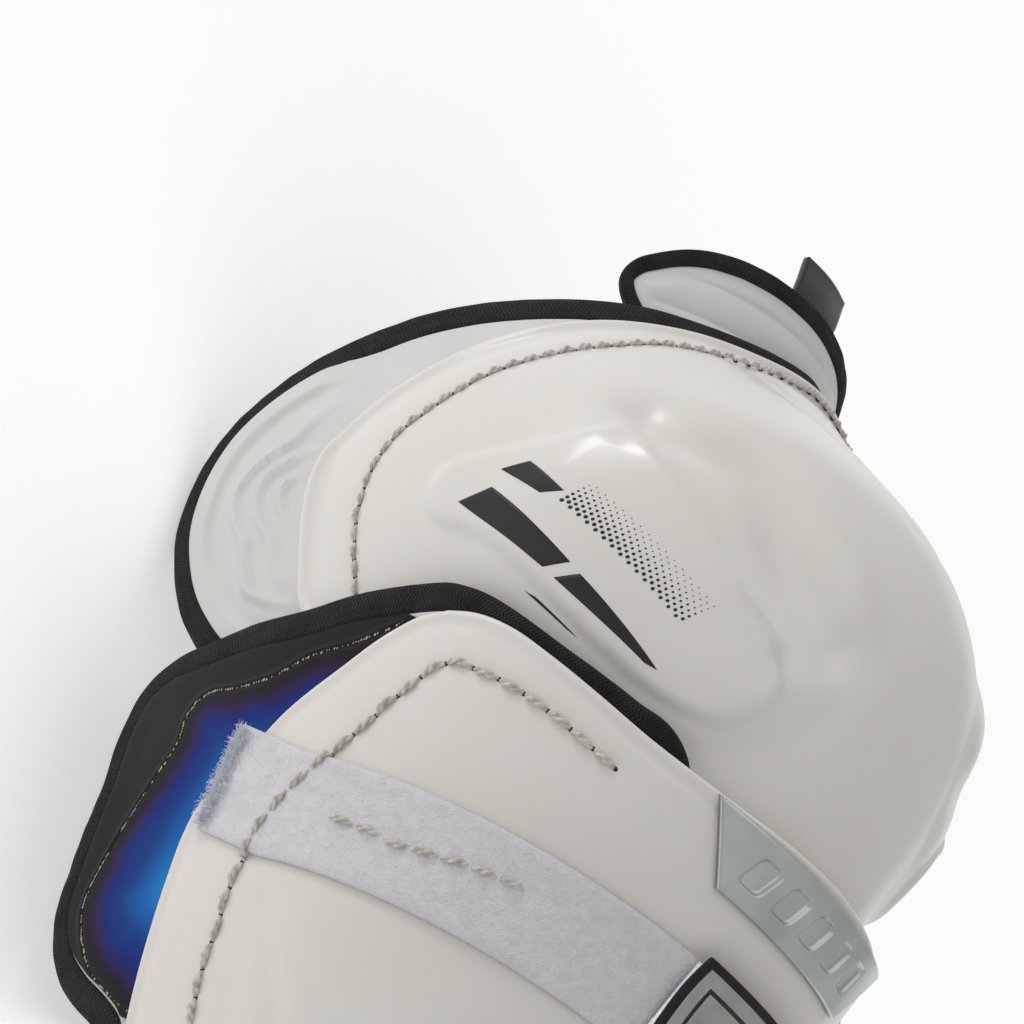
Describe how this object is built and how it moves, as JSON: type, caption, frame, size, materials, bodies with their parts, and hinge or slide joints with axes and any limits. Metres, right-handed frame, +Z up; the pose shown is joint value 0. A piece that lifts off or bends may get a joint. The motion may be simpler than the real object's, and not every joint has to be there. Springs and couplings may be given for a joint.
{
  "type": "shin guard",
  "caption": "Hard-shell shin and knee guard with moulded foam pad, bound calf wings, thigh flap, loop tape and wrap straps, open at the back for the leg.",
  "frame": {"origin": "middle of the box's underside, on the surface that the guard lies on", "axes": "+X across the leg, +Y along the guard towards the knee, +Z up, which is the guard's front as it lies on its back"},
  "size_m": [0.1704, 0.4878, 0.1712],
  "materials": {
    "shell": "glossy white moulded plastic",
    "foam": "light grey moulded foam with a smooth skin",
    "binding": "black knitted tape",
    "satin": "black satin tape",
    "plate": "satin silver plated plastic",
    "film": "blue and violet sheen film",
    "loop": "brushed loop pile",
    "elastic": "ribbed elastic webbing",
    "tab": "grey coated cloth over black hook tape"
  },
  "bodies": {
    "root": {"knee_cap": "shell", "knee_pad": "foam", "knee_pad_binding": "binding", "thigh_flap": "foam", "thigh_flap_binding": "binding", "pull_tab": "satin", "shin_shell": "shell", "name_plate": "plate", "shin_pad": "foam", "shin_pad_binding": "binding", "wing_panel_near": "film", "wing_panel_far": "film", "loop_strip_upper": "loop", "loop_strip_lower": "loop", "calf_strap_upper": "elastic", "calf_strap_lower": "elastic", "hook_tab_upper": "tab", "hook_tab_lower": "tab"}
  },
  "joints": []
}
